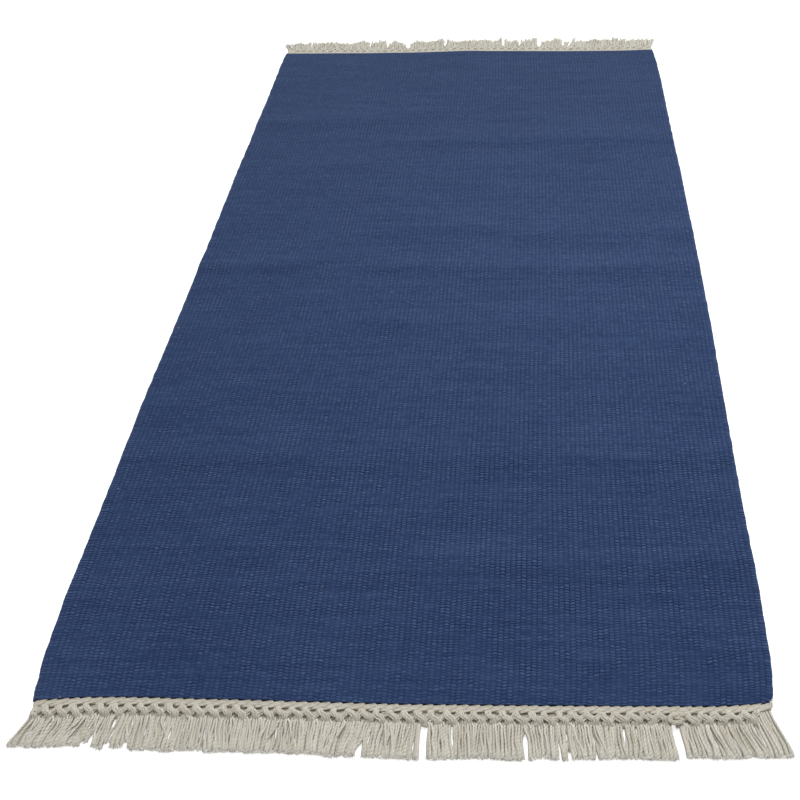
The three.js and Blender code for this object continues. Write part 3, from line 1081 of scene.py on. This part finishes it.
def makeStrands(name, ends, material, replaced, seed):
    # the loose ends of the warp: a tassel below each knot, spread, leaning and cut by hand
    shape = strandShape
    side = ends["side"]
    left, right, inner, pitch = endFrame(side)
    chance = random.Random(seed)
    tube = rolledTube(shape["sides"], shape["rings"])
    tuft = rolledTube(shape["tuftSides"], shape["tuftRings"])
    bm = newYarnMesh()

    def layStrand(even, centre, tasselLean, cut, lift, gathered):
        even = min(max(even, left + shape["leftMargin"]), right - shape["rightMargin"])
        radius = shape["radius"] * chance.uniform(*shape["sizes"])
        reach = readTable(ends["tips"], even / mm, 1) + cut
        reach = (reach + chance.uniform(*shape["cuts"]) * ends["ragged"]) * mm
        reach += ends["spike"] * (chance.random() < ends["spikeShare"]) - ends["trim"]
        lean = readTable(ends["tips"], even / mm, 2) * mm + tasselLean
        lean += shape["groupLean"] * noise.noise(Vector((even / shape["groupSize"], seed, 0)))
        stray = lift > 0 and chance.random() < shape["strayShare"]
        swing = lean + chance.gauss(0, shape["strayLean"] if stray else shape["ownLean"])
        hump = shape["hump"] * (stray or chance.random() < shape["humpShare"])
        tipRise = ends["tipRise"] * chance.random()
        wave = chance.gauss(0, shape["waveSpread"]) * shape["wave"]
        often = chance.uniform(*shape["waveTurns"])
        ripple = chance.uniform(*shape["ripples"]) * shape["wave"]
        phase = chance.uniform(0, math.tau)
        loose = even > left + (ends["lastKnot"] - shape["looseFrom"]) * pitch
        base = endReach(side, even) + inner + (shape["looseStart"] if loose else shape["start"])

        def sectionAt(share):
            gather = 1 if loose else gathered + (1 - gathered) * easeBetween(0, shape["gatherTo"], share)
            x = centre + (even - centre) * gather
            leanFrom, leanTo = shape["leanRange"]
            x += swing * easeBetween(-leanFrom if loose else leanFrom, leanTo, share)
            x += wave * math.sin(phase + often * share) * min(shape["waveStart"] * share, 1)
            x += ripple * math.sin(shape["rippleShift"] * phase + shape["rippleTurn"] * share)
            for place, width, opens, closes in ends["partings"]:
                # a parting pushes strands aside, most of all those next to it
                away = even + lean * (shape["slitLean"] if closes < 1 else 1) - place * mm
                push = 0.5 * width * mm * easeBetween(opens, min(opens + shape["partingEase"], 1), share)
                push *= easeBetween(closes, closes - shape["partingEase"], share)
                x += math.copysign(push * math.exp(-abs(away) / shape["partingSoft"]), away)
                if closes > 1 and push > 0:
                    # and where it stays open to the tips, none may cross it
                    edge = place * mm - lean * (1 - easeBetween(leanFrom, leanTo, share))
                    over = shape["radius"] + push - math.copysign(1, away) * (x - edge)
                    x += math.copysign(max(over, 0) * min(push / mm, 1), away)
            x = min(max(x, left - shape["spill"][0]), right + shape["spill"][1])
            spread = easeBetween(shape["spreadFrom"], 1, share)
            tip = easeBetween(shape["tipFrom"], 1, share)
            height = radius * (1 - tip * (1 - shape["tipHeight"]))
            rise = lift * easeBetween(0, shape["liftBy"], share) * (1 - tip * shape["tipDrop"])
            humped = math.sin(math.pi * min(share * shape["humpEnd"], 1))
            rise += hump * humped + tipRise * easeBetween(shape["tipRiseFrom"], 1, share)
            middle = Vector((x, side * (base + share * (reach - base)), height + rise))
            return middle, radius * (1 + spread * (shape["tipWidth"] - 1)), height

        # towards its tip the strand is painted lighter, its painted shade lifted and a pale colour mixed in
        layTube(bm, tube, sectionAt, reach - base, chance.random(), chance.random(), shape["tipFrom"])
        # the frayed end: a few thin tufts fanned over the tip
        tip, width, height = sectionAt(1)
        footAside, footBack, footUp = shape["tuftFoot"]
        for _ in range(shape["tufts"]):
            sideways = either(chance, 1) * width
            foot = tip + Vector((sideways * footAside, -side * footBack, footUp * height))
            out = chance.uniform(*shape["tuftOut"]) * mm
            end = foot + Vector((shape["tuftAside"] * sideways, side * out, 0))
            end.y = side * min(abs(end.y), shape["reachLimit"])
            thin = shape["tuftRadius"] * chance.uniform(*shape["tuftSizes"])

            def tuftAt(share):
                size = thin * (1 - shape["tuftTaper"] * share)
                return foot + (end - foot) * share, size, size

            # the tufts are painted lighter all along
            layTube(bm, tuft, tuftAt, shape["tuftLength"], chance.random(), chance.random(), alwaysBare)

    for tassel in range(knotShape["knots"]):
        centre = left + (tassel + knotShape["tasselShift"]) * pitch
        tasselLean = chance.gauss(0, shape["tasselLean"])
        cut = either(chance, 1) * ends["ragged"]
        for count, shift, lift, gathered in shape["layers"].values():
            for strand in range(count):
                even = (strand + shift + chance.uniform(*shape["jitter"])) / count - 0.5
                ownLift = lift * chance.uniform(*shape["liftSizes"])
                layStrand(centre + even * pitch, centre, tasselLean, cut, ownLift, gathered)
    return finishPiece(name, bm, material, replaced)


knots = [
    makeKnots("knots_front", frontEnds, knotYarn, "fringe_front", 21),
    makeKnots("knots_back", backEnds, backYarn, "fringe_back", 22),
]
strands = [
    makeStrands("strands_front", frontEnds, strandYarn, "fringe_front", 31),
    makeStrands("strands_back", backEnds, backYarn, "fringe_back", 32),
]
print("knots and strands made")

lintShape = {
    # flecks of ecru fibre, and two small bits of the blue wool at dark spots, lying on the cloth: x, y in mm
    "light": [
        (-348, -430), (-352, -138), (315, -254), (282, -542), (337, -645), (-71, -62), (11, -20),
        (110, -551), (-92, -566), (-325, -697.5),
    ],
    "dark": [(310, -506), (-302, 672)],
    "length": 2.6 * mm,
    "sizes": (0.7, 1.3),
    "radius": 0.35 * mm,
    "sides": 5,
    "rings": 5,
    "endRadius": 0.2,
    "bend": 0.5 * mm,
    "over": 0.45 * mm,
}


def makeLint(name, places, material, seed):
    shape = lintShape
    chance = random.Random(seed)
    tube = rolledTube(shape["sides"], shape["rings"])
    bm = newYarnMesh()
    for x, y in places:
        turn, size = chance.uniform(0, math.pi), chance.uniform(*shape["sizes"])
        run = Vector((math.cos(turn), math.sin(turn), 0)) * shape["length"] * size
        across = Vector((-math.sin(turn), math.cos(turn), 0)) * shape["bend"]
        middle = Vector((x * mm, y * mm, clothHeight(x * mm, y * mm) + shape["over"]))

        def fibreAt(share):
            roundness = math.sqrt(1 + shape["endRadius"] ** 2 - (2 * share - 1) ** 2)
            thin = shape["radius"] * size * roundness
            return middle + run * (share - 0.5) + across * math.sin(math.pi * share), thin, thin

        layTube(bm, tube, fibreAt, shape["length"], chance.random())
    return finishPiece(name, bm, material, "field")


makeLint("lint_light", lintShape["light"], strandYarn, 41)
makeLint("lint_dark", lintShape["dark"], blueWool, 42)
print("lint laid")

stageSetup = {
    "floorSize": 14,
    "floorDrop": 0.2 * mm,
    "floor": {
        "Base Color": (0.62, 0.62, 0.62, 1),
        "Roughness": 1,
        "Specular IOR Level": 0,
        "Emission Color": (1, 1, 1, 1),
        "Emission Strength": 0.65,
    },
    "skyColour": (1, 1, 1, 1),
    "skyStrength": 0.55,
    "key": {"place": (0.45, 1.7, 1.4), "toward": (0, 0, 0), "energy": 3.18, "angle": math.radians(65)},
    # a small lamp over the middle, turned to the right, where the cloth is the brightest
    "fill": {"place": (0.13, 0.01, 0.84), "toward": (0.77, 0.01, 0), "energy": 3.46, "size": 0.3},
}


def addFloor():
    bm = bmesh.new()
    bmesh.ops.create_grid(bm, x_segments=1, y_segments=1, size=stageSetup["floorSize"])
    bmesh.ops.translate(bm, verts=bm.verts, vec=(0, 0, -stageSetup["floorDrop"]))
    material, _, shader = newMaterial("paleFloor")
    setSockets(shader, stageSetup["floor"])
    floor = addObject("floor", meshFrom("floor", bm))
    floor.data.materials.append(material)


def addSky():
    world = bpy.data.worlds.new("studio")
    world.use_nodes = True
    background = world.node_tree.nodes["Background"]
    setSockets(background, {"Color": stageSetup["skyColour"], "Strength": stageSetup["skyStrength"]})
    scene.world = world


def addLamp(name, kind, place, toward, **settings):
    data = bpy.data.lights.new(name, kind)
    for setting, value in settings.items():
        setattr(data, setting, value)
    lamp = addObject(name, data)
    lamp.visible_camera = False
    turn = (Vector(place) - Vector(toward)).to_track_quat("Z", "Y")
    lamp.matrix_world = Matrix.Translation(place) @ turn.to_matrix().to_4x4()


addFloor()
addSky()
addLamp("softKey", "SUN", **stageSetup["key"])
addLamp("sideFill", "AREA", **stageSetup["fill"])
print("floor and lights placed")
